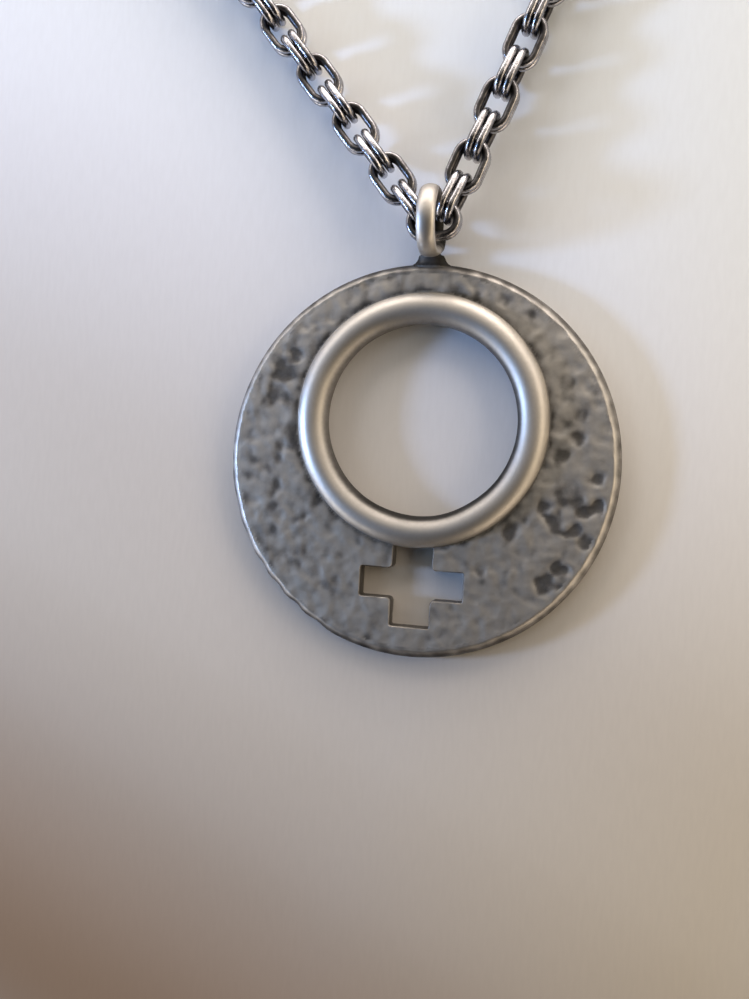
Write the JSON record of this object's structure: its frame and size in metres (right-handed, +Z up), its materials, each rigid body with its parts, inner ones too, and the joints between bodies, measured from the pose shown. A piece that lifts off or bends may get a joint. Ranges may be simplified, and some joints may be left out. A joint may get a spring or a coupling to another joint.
{
  "type": "female symbol pendant",
  "caption": "Round cast pewter pendant with a raised round-wire ring and a cross-shaped opening below it, lying on a surface with its double-link chain laid out as a loop.",
  "frame": {"origin": "middle of the footprint of pendant and chain, on the surface that they lie on", "axes": "+Z up from the surface through the pendant's front, +Y from the disc towards the bail and along the loop"},
  "size_m": [0.1205, 0.2209, 0.0074],
  "materials": {
    "pewter": "cast pewter, antiqued dark in its texture, satin on the ring, bail and rim",
    "chain_metal": "oxidised dark grey plating, worn bright on the outer curves"
  },
  "bodies": {
    "root": {"pendant": "pewter", "chain_left": "chain_metal", "chain_right": "chain_metal", "clasp": "chain_metal"}
  },
  "joints": []
}
